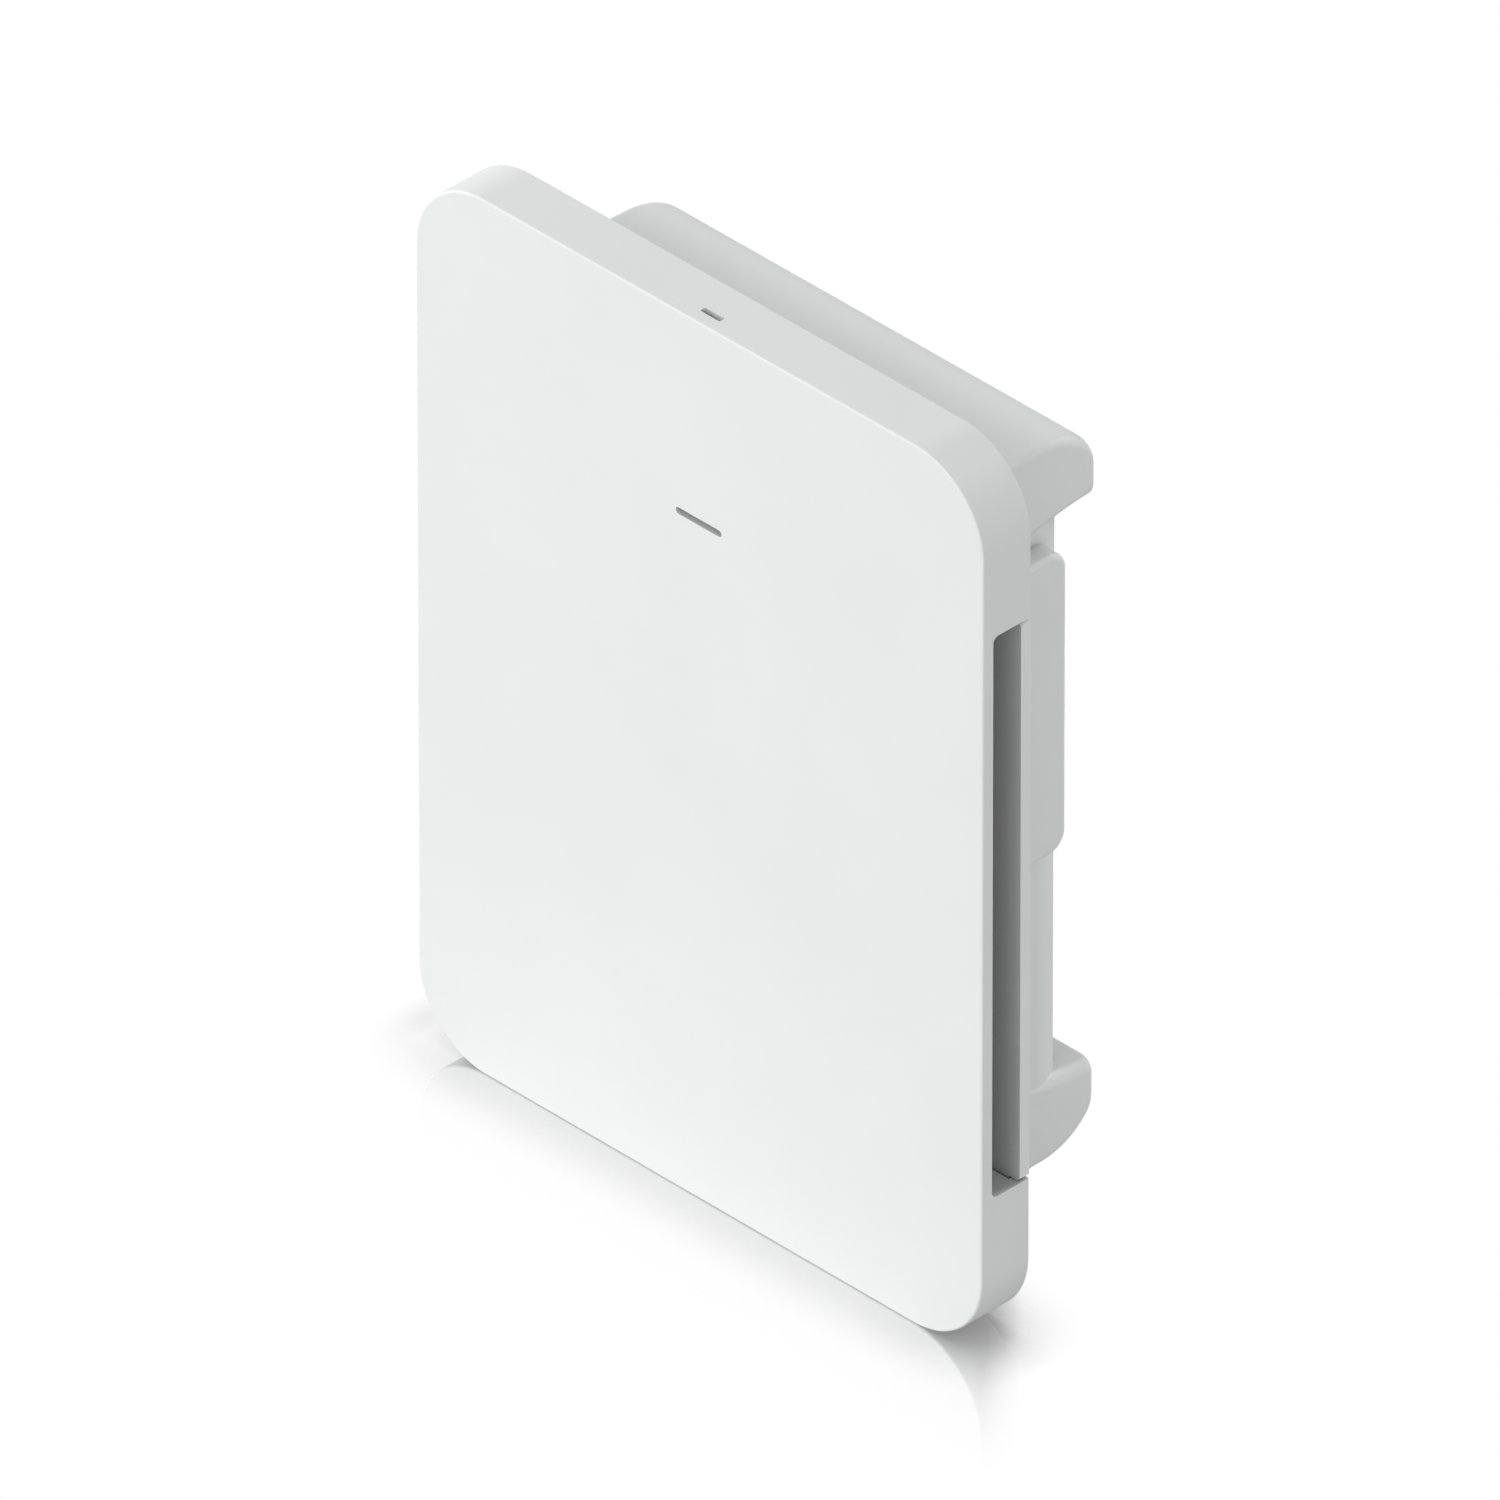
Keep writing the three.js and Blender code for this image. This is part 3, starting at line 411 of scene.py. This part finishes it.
def base_plate():
    """The plate that closes the cover, with a tab out through each of the cover's notches."""
    i = WALL + GAP
    r = CORNER - i
    x, z, tab = W / 2 - i, H / 2 - i, VENT_Z - GAP
    edge = [(W / 2, -tab + 0.5), (W / 2, tab - 0.5), (W / 2 - 0.5, tab), (x, tab)]
    upper = arc(x - r, z - r, r, 0, 90, 24) + arc(r - x, z - r, r, 90, 180, 24)
    left = [(-u, v) for u, v in reversed(edge)]
    low = arc(r - x, r - z, r, 180, 270, 24) + arc(x - r, r - z, r, 270, 360, 24)
    plate_line = [(x, -tab), (W / 2 - 0.5, -tab)] + edge + upper + left
    plate_line += [(0.5 - W / 2, -tab), (-x, -tab)] + low
    return prism(plate_line, PLATE_FRONT, COVER_BACK, along_y, name="housing_shell")


def housing_cuts():
    """Holes in the housing: pocket, jack, reset button, lock, keyholes and screws."""
    through = (BODY_INNER - 1, BODY_BACK + 1)
    ceiling = (POCKET_HIGH - 1, POCKET_HIGH + 3)
    neck = STUD_NECK + 0.2
    cuts = [
        prism(circle(u, v, PILOT_R, 16), LUG_FRONT - 1.1, BODY_INNER - 1, along_y)
        for u, v in corners(LUG_X, LUG_Z)
    ]
    pocket = rounded(-POCKET_X, POCKET_X, POCKET_LOW, POCKET_HIGH, POCKET_R, 6)
    cuts += [
        prism(pocket, POCKET_FRONT, BODY_BACK + 1, along_y),
        block(-JACK_X, JACK_X, POCKET_FRONT - 2, JACK_BACK, *ceiling),
        prism(circle(RESET_X, RESET_Y, RESET_R), *ceiling, along_z),
        block(
            -PRESS_X,
            PRESS_X,
            BODY_INNER - PRESS_DEPTH,
            BODY_INNER - 0.2,
            BODY_Z - 3,
            BAR_FLOOR + 1,
        ),
        block(-TOOTH_X, TOOTH_X, *through, TOOTH_LOW, TOOTH_HIGH),
        prism(circle(0, LEAF_ROOT, RIVET_R), *through, along_y),
    ]
    for v in STUD_ZS:
        for u in (-STUD_X, STUD_X):
            cuts.append(prism(circle(u, v - LIFT, STUD_HEAD + 0.4, 40), *through, along_y))
            line = rounded(u - neck, u + neck, v - LIFT, v + neck, neck - 1e-3, 10)
            cuts.append(prism(line, *through, along_y))
    for u, v in corners(SCREW_X, SCREW_Z):
        cuts.append(prism(circle(u, v, SCREW_R), PLATE_FRONT - 1, COVER_BACK + 1, along_y))
        sunk = COVER_BACK - SCREW_SINK
        cuts.append(prism(circle(u, v, SCREW_HEAD_R), sunk, COVER_BACK + 1, along_y))
    return cuts


def rear_housing():
    """Base plate, body, two bars and two side blocks in one shell."""
    shell = base_plate()
    bar = upper_bar()
    pod_line = rounded(PLATE_FRONT + 0.5, POD_BACK, POD_LOW, POD_HIGH, POD_R, 14)
    pods = prism(pod_line, -POD_X, POD_X, along_x, 1.0, 1.0, 5)
    combine(shell, "UNION", [flipped(bar), bar, body_block(), pods])

    room = bar_room()
    pod_room = prism(
        rounded(PLATE_FRONT - 6, POD_BACK - WALL, POD_LOW + WALL, POD_HIGH - WALL, POD_R - WALL, 6),
        WALL - POD_X,
        POD_X - WALL,
        along_x,
    )
    body_room = prism(body_outline(WALL), WALL - BODY_Z, BODY_Z - WALL, along_z)
    combine(shell, "DIFFERENCE", [flipped(room), room, pod_room, body_room])

    lugs = [
        prism(circle(u, v, LUG_R), LUG_FRONT, BODY_INNER + 0.5, along_y)
        for u, v in corners(LUG_X, LUG_Z)
    ]
    lugs.append(
        block(
            -POCKET_X - WALL,
            POCKET_X + WALL,
            POCKET_FRONT - 1.8,
            BODY_BACK - 0.5,
            POCKET_LOW - WALL,
            POCKET_HIGH + WALL,
        )
    )
    combine(shell, "UNION", lugs)
    combine(shell, "DIFFERENCE", housing_cuts())
    return soften(shell, 0.14, 40, 2)


# ------------------------------------------------------------------ small pieces
def refined(node, width=0.1, angle=35):
    """The CAD node's own shape with its sharp edges rounded."""
    source = frame["nodes"][node]
    bm = bmesh.new()
    bm.from_mesh(source.data)
    obj = soften(to_object(node + "_piece", bm), width, angle, 2)
    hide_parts(node)
    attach(obj, source["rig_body"])
    return obj


def light_pipe():
    y = COVER_INNER + 0.1
    lens = prism(
        obround(LED_L - 0.2, LED_H - 0.2, 0, LED_Z, 16), -DEPTH + 0.3, y + 0.5, along_y, 0.12, 0, 3
    )
    flange = prism(obround(14, 5, 0, LED_Z), y, y + 1, along_y, 0.2, 0.2, 2)
    stub = prism(obround(6, 2.4, 0, LED_Z), y + 0.5, y + 2.6, along_y, 0, 0.3, 3)
    lens.name = "light_pipe_piece"
    combine(lens, "UNION", [flange, stub])
    return soften(lens, 0)


# ------------------------------------------------------------------ shader nodes
def wire(tree, source, socket):
    """Links source to the socket, or sets the socket's value if source is one."""
    if isinstance(source, bpy.types.NodeSocket):
        tree.links.new(source, socket)
    else:
        socket.default_value = source


def maths(tree, operation, *values):
    node = tree.nodes.new("ShaderNodeMath")
    node.operation = operation
    for value, socket in zip(values, node.inputs):
        wire(tree, value, socket)
    return node.outputs[0]


def split(tree, vector):
    """The vector's x, y and z."""
    node = tree.nodes.new("ShaderNodeSeparateXYZ")
    tree.links.new(vector, node.inputs[0])
    return node.outputs


def position(tree):
    """x, y and z of the place shaded."""
    return split(tree, tree.nodes.new("ShaderNodeNewGeometry").outputs["Position"])


def dot(tree, a, b):
    node = tree.nodes.new("ShaderNodeVectorMath")
    node.operation = "DOT_PRODUCT"
    wire(tree, a, node.inputs[0])
    wire(tree, b, node.inputs[1])
    return node.outputs["Value"]


def blended(tree, factor, a, b):
    """Shader a where factor is 0 and b where it is 1."""
    node = tree.nodes.new("ShaderNodeMixShader")
    for source, socket in zip((factor, a, b), node.inputs):
        tree.links.new(source, socket)
    return node.outputs[0]


def noise(tree, scale, detail=3.0, rough=0.5, stretch=None):
    node = tree.nodes.new("ShaderNodeTexNoise")
    node.inputs["Scale"].default_value = scale
    node.inputs["Detail"].default_value = detail
    node.inputs["Roughness"].default_value = rough
    source = tree.nodes.new("ShaderNodeTexCoord").outputs["Object"]
    if stretch:
        mapping = tree.nodes.new("ShaderNodeMapping")
        mapping.inputs["Scale"].default_value = stretch
        tree.links.new(source, mapping.inputs["Vector"])
        source = mapping.outputs["Vector"]
    tree.links.new(source, node.inputs["Vector"])
    return node.outputs["Fac"]


def ramp(tree, fac, low, high, at0=0.3, at1=0.7):
    """low where fac is at0 or less, rising or falling evenly to high at at1."""
    node = tree.nodes.new("ShaderNodeMapRange")
    node.inputs["From Min"].default_value = at0
    node.inputs["From Max"].default_value = at1
    node.inputs["To Min"].default_value = low
    node.inputs["To Max"].default_value = high
    tree.links.new(fac, node.inputs["Value"])
    return node.outputs["Result"]


def mix(tree, fac, a, b):
    """Colour a where fac is 0 and b where it is 1."""
    node = tree.nodes.new("ShaderNodeMix")
    node.data_type = "RGBA"
    for source, socket in ((a, node.inputs["A"]), (b, node.inputs["B"])):
        wire(tree, (*source, 1) if isinstance(source, tuple) else source, socket)
    tree.links.new(fac, node.inputs["Factor"])
    return node.outputs["Result"]


def edge_tint_mask(tree):
    """1 on edges within a quarter of a millimetre, 0 elsewhere; this is where an edge colour is
    mixed in.
    """
    bevel = tree.nodes.new("ShaderNodeBevel")
    bevel.samples = 4
    bevel.inputs["Radius"].default_value = 0.25 * MM
    normal = tree.nodes.new("ShaderNodeNewGeometry").outputs["Normal"]
    return ramp(tree, dot(tree, normal, bevel.outputs["Normal"]), 1.0, 0.0, 0.88, 0.995)


def occlusion_shade(tree, reach, low, at0=0.25, at1=0.9):
    """1 in the open, falling to low in places closed in within reach mm. Used to paint shade into
    colours in recesses and onto the floor sheet near the object.
    """
    node = tree.nodes.new("ShaderNodeAmbientOcclusion")
    node.samples = 8
    node.inputs["Distance"].default_value = reach * MM
    return ramp(tree, node.outputs["AO"], low, 1.0, at0, at1)


def scaled(tree, color, factor):
    node = tree.nodes.new("ShaderNodeVectorMath")
    node.operation = "SCALE"
    tree.links.new(color, node.inputs[0])
    tree.links.new(factor, node.inputs["Scale"])
    return node.outputs["Vector"]


# ------------------------------------------------------------------ finishes
def surface(
    name, color, rough, grain, bump, metallic=0.0, stretch=None, edge=None, spread=0.06, recess_shade=()
):
    """A finish with grain in its relief, slow patches in colour and gloss, and a lighter edge
    colour.
    Each tuple in the last argument paints shade into the colour in its recesses."""
    mat = bpy.data.materials.new(name)
    mat.use_nodes = True
    tree = mat.node_tree
    bsdf = tree.nodes["Principled BSDF"]
    fine = noise(tree, grain, 4.0, 0.6, stretch)
    patch = noise(tree, 35, 2.0)
    dark = tuple(c * (1 - spread * 0.35) for c in color)
    base = mix(tree, ramp(tree, patch, 0, 1), dark, color)
    # Edge colour: a painted highlight on the white plastics, lighter edges on the zinc steel.
    if edge:
        base = mix(tree, edge_tint_mask(tree), base, edge)
    # Painted shade: the base colour is darkened where the surface is closed in.
    for depth in recess_shade:
        base = scaled(tree, base, occlusion_shade(tree, *depth))
    tree.links.new(base, bsdf.inputs["Base Color"])
    gloss = ramp(tree, noise(tree, grain / 6, 3.0, 0.6, stretch), rough - spread, rough + spread)
    tree.links.new(gloss, bsdf.inputs["Roughness"])
    bsdf.inputs["Metallic"].default_value = metallic
    relief = tree.nodes.new("ShaderNodeBump")
    relief.inputs["Strength"].default_value = bump
    relief.inputs["Distance"].default_value = 0.00002
    tree.links.new(fine, relief.inputs["Height"])
    tree.links.new(relief.outputs["Normal"], bsdf.inputs["Normal"])
    return mat


# Painted highlight colour for the edges of the white plastics.
EDGE_HIGHLIGHT = (0.93, 0.935, 0.935)
SLOTS = {
    "white_plastic": surface(
        "white_plastic",
        (0.83, 0.838, 0.836),
        0.5,
        9000,
        0.12,
        # painted highlight on the edges
        edge=EDGE_HIGHLIGHT,
        # painted shade in the recesses
        recess_shade=((9, 0.75),),
    ),
    "housing_plastic": surface(
        "housing_plastic",
        (0.85, 0.858, 0.856),
        0.52,
        9000,
        0.14,
        # painted highlight on the edges
        edge=EDGE_HIGHLIGHT,
        # painted shade in the recesses, deepest in the tight ones
        recess_shade=((24, 0.73, 0.25, 1.0), (4.5, 0.25, 0.2, 0.65)),
    ),
    "lens": surface("lens", (0.09, 0.095, 0.095), 0.3, 6000, 0.1),
    "button_plastic": surface("button_plastic", (0.33, 0.35, 0.37), 0.5, 8000, 0.2),
    "black_plastic": surface("black_plastic", (0.02, 0.02, 0.022), 0.45, 7000, 0.3),
    "zinc_steel": surface(
        "zinc_steel", (0.62, 0.63, 0.64), 0.36, 2500, 0.25, 1.0, (1, 1, 0.06), (0.8, 0.8, 0.8), 0.1
    ),
    "spring_steel": surface(
        "spring_steel", (0.5, 0.51, 0.52), 0.28, 3000, 0.2, 1.0, (1, 1, 0.08), None, 0.08
    ),
    "tinned_steel": surface(
        "tinned_steel", (0.72, 0.72, 0.71), 0.3, 2500, 0.2, 1.0, (0.1, 1, 1), None, 0.1
    ),
    "aluminium": surface(
        "aluminium", (0.72, 0.73, 0.74), 0.42, 2500, 0.25, 1.0, (1, 1, 0.1), None, 0.1
    ),
    "circuit_board": surface("circuit_board", (0.01, 0.07, 0.035), 0.35, 1500, 0.5),
    "chip_resin": surface("chip_resin", (0.02, 0.02, 0.021), 0.55, 8000, 0.4),
    "thermal_pad": surface("thermal_pad", (0.25, 0.28, 0.32), 0.85, 4000, 0.6),
    "winding_tape": surface("winding_tape", (0.35, 0.30, 0.10), 0.45, 2500, 0.3),
    "cable_jacket": surface("cable_jacket", (0.025, 0.025, 0.027), 0.4, 5000, 0.2),
}


# ------------------------------------------------------------------ build
def dress(obj, slot):
    obj.data.materials.clear()
    obj.data.materials.append(SLOTS[slot])


def yield_to_plunger(obj, node):
    """Gives the plunger spring and the latch leaf meshes of their own."""
    if node == "plunger_spring":
        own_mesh(obj)
    if node == "latch_leaf":
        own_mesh(obj)


MODELLED = {"front_cover": front_cover, "rear_housing": rear_housing, "light_pipe": light_pipe}
node_slot = {s["node"]: s["material_slot"] for s in frame["record"]["subparts"]}

for node, make in MODELLED.items():
    piece = make()
    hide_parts(node)
    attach(piece, "unit")
    dress(piece, node_slot[node])

for node, slot in node_slot.items():
    if node not in MODELLED:
        piece = refined(node)
        dress(piece, slot)
        yield_to_plunger(piece, node)


# ------------------------------------------------------------------ studio
def near_object(tree):
    """Strength of the floor's polish: MIRROR at the foot of the front cover, fading in front of it
    and to its right, none elsewhere. It mirrors the cover and leaves out what is behind it."""
    x, y, _ = position(tree)
    ahead = maths(tree, "MULTIPLY_ADD", y, -1.0, -DEPTH * MM)
    aside = maths(tree, "MULTIPLY_ADD", x, 1.0, -W / 2 * MM)
    distance = maths(tree, "MAXIMUM", ahead, aside)
    fade = ramp(tree, distance, 1.0, 0.0, 0.0, MIRROR_REACH * MM)
    strength = maths(tree, "POWER", fade, MIRROR_POWER)
    across = maths(tree, "MULTIPLY_ADD", x, 1.0, y)
    back = (W / 2 + COVER_BACK) * MM
    for factor in (
        ramp(tree, distance, 0.0, MIRROR, -CORNER * MM, -0.8 * CORNER * MM),
        ramp(tree, x, 0.0, 1.0, -1.06 * W / 2 * MM, -W / 2 * MM),
        ramp(tree, across, 1.0, 0.0, back - 9.5 * MM, back - 1.5 * MM),
    ):
        strength = maths(tree, "MULTIPLY", strength, factor)
    return strength


def painted_contact_shadow(tree):
    """Painted contact shadow: how much darker the floor sheet is painted close to the object, more
    by its ends than at its middle.
    """
    reach = occlusion_shade(tree, CONTACT_REACH, 0.0, 0.45, 1.0)
    off_centre = maths(tree, "ABSOLUTE", position(tree)["X"])
    depth = ramp(tree, off_centre, *CONTACT, 0.62 * W / 2 * MM, 0.95 * W / 2 * MM)
    near = maths(tree, "POWER", maths(tree, "SUBTRACT", 1.0, reach), CONTACT_POWER)
    return maths(tree, "MULTIPLY", near, depth)


def floor():
    """The camera sees a bright sheet with a painted contact shadow and a polish near the object.
    Other rays meet matt white.
    """
    bm = bmesh.new()
    bmesh.ops.create_grid(bm, x_segments=1, y_segments=1, size=FLOOR_SIZE)
    bmesh.ops.translate(bm, verts=bm.verts, vec=(0, 0, -H / 2 * MM - FLOOR_DROP))
    obj = to_object("studio_floor", bm)
    mat = bpy.data.materials.new("studio_floor")
    mat.use_nodes = True
    tree = mat.node_tree
    tree.nodes.clear()
    sheet = tree.nodes.new("ShaderNodeEmission")
    # Painted contact shadow on the emitting floor sheet.
    bright = ramp(tree, painted_contact_shadow(tree), 1.0, 0.0, 0.0, 1.0)
    tree.links.new(bright, sheet.inputs["Strength"])
    gloss = tree.nodes.new("ShaderNodeBsdfGlossy")
    gloss.inputs["Roughness"].default_value = 0.0
    gloss.inputs["Color"].default_value = (1, 1, 1, 1)
    polished = blended(tree, near_object(tree), sheet.outputs[0], gloss.outputs[0])
    matt = tree.nodes.new("ShaderNodeBsdfDiffuse")
    matt.inputs["Color"].default_value = (FLOOR_BOUNCE, FLOOR_BOUNCE, FLOOR_BOUNCE, 1)
    path = tree.nodes.new("ShaderNodeLightPath")
    shown = blended(tree, path.outputs["Is Camera Ray"], matt.outputs[0], polished)
    out = tree.nodes.new("ShaderNodeOutputMaterial")
    tree.links.new(shown, out.inputs["Surface"])
    obj.data.materials.append(mat)
    obj.visible_shadow = False


def world():
    """Soft light, strongest from the front left and from low down, and none from under the floor.
    It looks plain white to the camera and in the floor's mirror."""
    scene_world = bpy.data.worlds.new("studio")
    bpy.context.scene.world = scene_world
    scene_world.use_nodes = True
    tree = scene_world.node_tree
    tree.nodes.clear()
    toward = tree.nodes.new("ShaderNodeTexCoord").outputs["Generated"]
    tilted = maths(tree, "ADD", dot(tree, toward, WORLD_TILT), WORLD_LEVEL)
    above = maths(tree, "GREATER_THAN", split(tree, toward)["Z"], 0.0)
    level = maths(tree, "MULTIPLY", maths(tree, "MAXIMUM", tilted, 0.0), above)
    soft = tree.nodes.new("ShaderNodeBackground")
    tree.links.new(level, soft.inputs["Strength"])
    white = tree.nodes.new("ShaderNodeBackground")
    white.inputs["Color"].default_value = (1, 1, 1, 1)
    path = tree.nodes.new("ShaderNodeLightPath").outputs
    seen = maths(tree, "MAXIMUM", path["Is Camera Ray"], path["Is Singular Ray"])
    out = tree.nodes.new("ShaderNodeOutputWorld")
    shown = blended(tree, seen, soft.outputs[0], white.outputs[0])
    tree.links.new(shown, out.inputs["Surface"])


def area_light(name, place, target, size, power):
    light = bpy.data.lights.new(name, "AREA")
    light.shape = "DISK"
    light.size = size
    light.energy = power
    obj = bpy.data.objects.new(name, light)
    obj.location = place
    obj.rotation_euler = (Vector(target) - Vector(place)).to_track_quat("-Z", "Y").to_euler()
    bpy.context.scene.collection.objects.link(obj)
    return obj


def only_on_object(lights):
    """Keeps lights off the floor, so that they draw no shadow of their own there."""
    lit = bpy.data.collections.new("lit_pieces")
    for obj in bpy.context.scene.objects:
        if obj.type == "MESH" and obj.name != "studio_floor":
            lit.objects.link(obj)
    for light in lights:
        light.light_linking.receiver_collection = lit


def camera():
    azimuth, elevation = math.radians(CAMERA_AZIMUTH), math.radians(CAMERA_ELEVATION)
    level = math.cos(elevation)
    back = Vector((math.sin(azimuth) * level, -math.cos(azimuth) * level, math.sin(elevation)))
    data = bpy.data.cameras.new("camera")
    data.sensor_width = CAMERA_SENSOR
    data.lens = CAMERA_LENS
    data.clip_start, data.clip_end = 0.5, 30
    obj = bpy.data.objects.new("camera", data)
    obj.location = (Vector(CAMERA_AIM) + back * CAMERA_AWAY) * MM
    roll = Matrix.Rotation(math.radians(CAMERA_ROLL), 4, "Z")
    turn = (-back).to_track_quat("-Z", "Y").to_matrix().to_4x4() @ roll
    obj.rotation_euler = turn.to_euler()
    bpy.context.scene.collection.objects.link(obj)
    bpy.context.scene.camera = obj


floor()
world()
only_on_object([area_light(*light) for light in LIGHTS])
camera()
view_settings = bpy.context.scene.view_settings
view_settings.view_transform = "Standard"
view_settings.look = "None"
view_settings.exposure = 0.0
view_settings.gamma = 1.0
